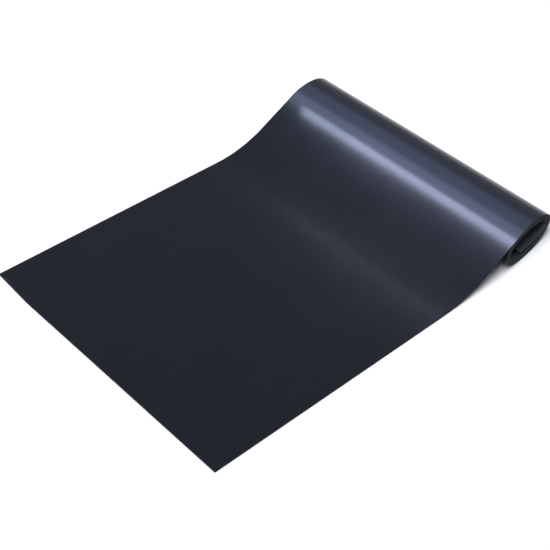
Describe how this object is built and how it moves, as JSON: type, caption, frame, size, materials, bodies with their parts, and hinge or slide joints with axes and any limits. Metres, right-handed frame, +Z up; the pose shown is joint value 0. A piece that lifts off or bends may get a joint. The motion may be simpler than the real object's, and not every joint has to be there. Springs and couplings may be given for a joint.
{
  "type": "seedling heat mat",
  "caption": "Wide, thin heating mat for seedlings with a finely textured dark top, half unrolled: an oval roll with a free end lying flat.",
  "frame": {"origin": "middle of the whole footprint, on the bench", "axes": "+X across the mat, along the roll; +Y along the mat from the free edge to the roll; +Z up"},
  "size_m": [0.9, 1.2832, 0.1204],
  "materials": {
    "cover_top": "satin",
    "cover_bottom": "matte",
    "seal": "satin",
    "screen": "satin",
    "film": "gloss",
    "carbon": "matte",
    "copper": "satin",
    "felt": "matte",
    "block": "fine moulded texture",
    "bush": "matte",
    "cutout": "matte",
    "wire": "gloss",
    "terminal": "satin",
    "steel": "satin"
  },
  "bodies": {
    "rolled_mat": {"top_cover": "cover_top", "earth_screen": "screen", "upper_film": "film", "carbon_layer": "carbon", "live_busbar": "copper", "neutral_busbar": "copper", "neutral_link": "copper", "lower_film": "film", "felt_backing": "felt", "bottom_cover": "cover_bottom", "left_edge_seal": "seal", "right_edge_seal": "seal", "inner_end_seal": "seal", "lead_block_base": "block", "lead_block_cover": "block", "lead_bush": "bush", "thermal_cutout": "cutout", "cutout_wire": "wire", "live_terminal": "terminal", "neutral_terminal": "terminal", "earth_terminal": "terminal", "terminal_rivets": "steel", "block_screws": "steel"},
    "free_end": {"top_cover_free_end": "cover_top", "earth_screen_free_end": "screen", "upper_film_free_end": "film", "carbon_layer_free_end": "carbon", "live_busbar_free_end": "copper", "neutral_busbar_free_end": "copper", "lower_film_free_end": "film", "felt_backing_free_end": "felt", "bottom_cover_free_end": "cover_bottom", "left_edge_seal_free_end": "seal", "right_edge_seal_free_end": "seal", "free_end_seal": "seal"}
  },
  "joints": [
    {"name": "free_end_lift", "type": "hinge", "parent": "rolled_mat", "child": "free_end", "pos_m": [0, -0.15183, 0.003], "axis": [-1, 0, 0], "range_deg": [0, 75]}
  ]
}
